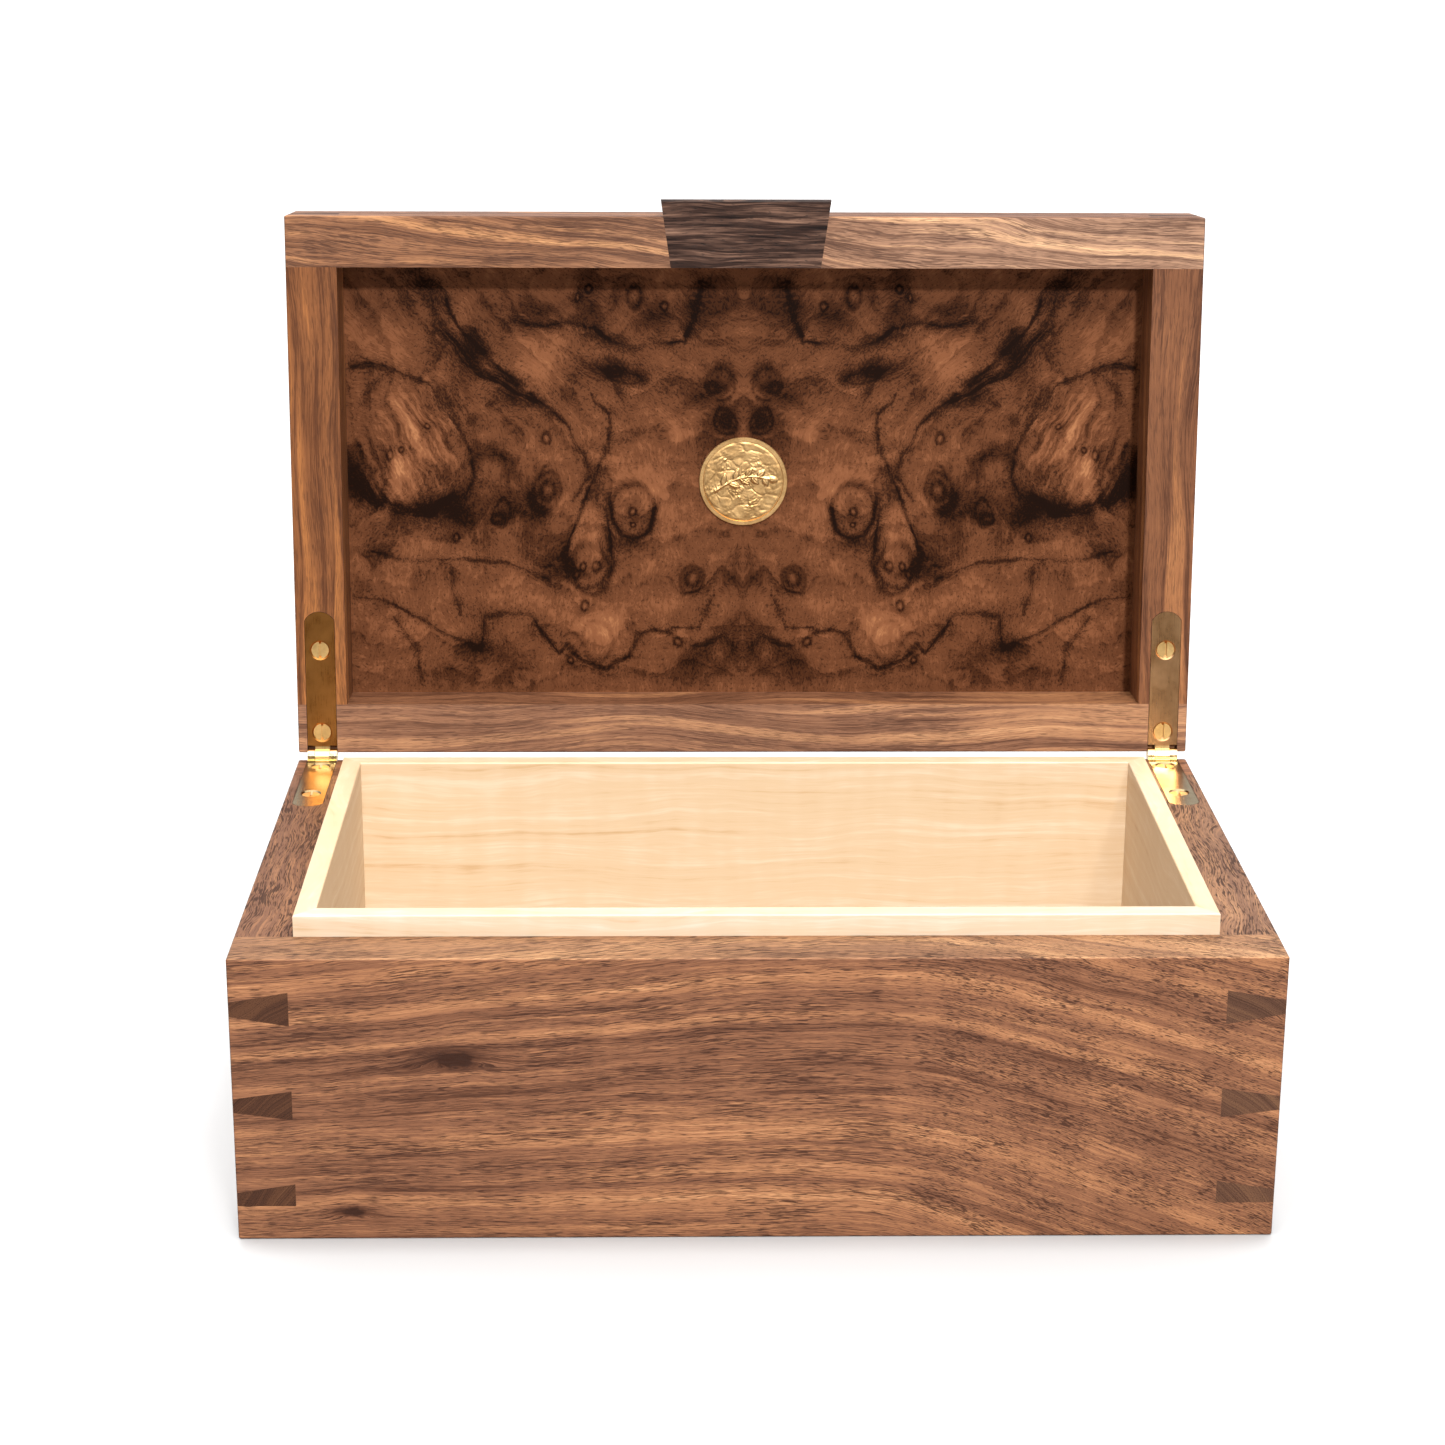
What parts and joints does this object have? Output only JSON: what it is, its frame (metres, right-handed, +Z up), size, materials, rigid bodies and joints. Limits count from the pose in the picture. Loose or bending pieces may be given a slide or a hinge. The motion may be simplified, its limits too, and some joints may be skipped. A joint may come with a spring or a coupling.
{
  "type": "watch box",
  "caption": "Dovetailed walnut watch box: raised maple liner, framed burl lid on two brass stop hinges, rosewood finger pull, round brass medallion inside the lid.",
  "frame": {"origin": "centre of the case's footprint, on its underside", "axes": "+X to the right along the longest side, +Y to the hinged back, +Z up"},
  "size_m": [0.291, 0.2178, 0.2646],
  "materials": {
    "walnut": "oiled satin walnut",
    "plywood": "walnut-faced plywood, unpolished",
    "maple": "satin maple",
    "burl": "semi-gloss walnut burl veneer",
    "rosewood": "satin dark rosewood",
    "brass": "polished brass",
    "brass_pin": "turned brass",
    "brass_screw": "polished brass",
    "suede": "brown suede"
  },
  "bodies": {
    "case": {"front_board": "walnut", "back_board": "walnut", "left_side_board": "walnut", "right_side_board": "walnut", "bottom_panel": "plywood", "liner_front": "maple", "liner_back": "maple", "liner_left": "maple", "liner_right": "maple", "floor_pad": "suede", "left_hinge_case_leaf": "brass", "right_hinge_case_leaf": "brass", "left_hinge_pin": "brass_pin", "right_hinge_pin": "brass_pin", "left_hinge_case_screws": "brass_screw", "right_hinge_case_screws": "brass_screw"},
    "lid": {"lid_front_rail": "walnut", "lid_back_rail": "walnut", "lid_left_rail": "walnut", "lid_right_rail": "walnut", "lid_panel_core": "plywood", "lid_inner_veneer_left": "burl", "lid_inner_veneer_right": "burl", "lid_outer_veneer_left": "burl", "lid_outer_veneer_right": "burl", "lid_pull": "rosewood", "medallion": "brass", "left_hinge_lid_leaf": "brass", "right_hinge_lid_leaf": "brass", "left_hinge_lid_screws": "brass_screw", "right_hinge_lid_screws": "brass_screw"}
  },
  "joints": [
    {"name": "lid_hinge", "type": "hinge", "parent": "case", "child": "lid", "pos_m": [0, 0.08795, 0.08535], "axis": [1, 0, 0], "range_deg": [0, 95]}
  ]
}
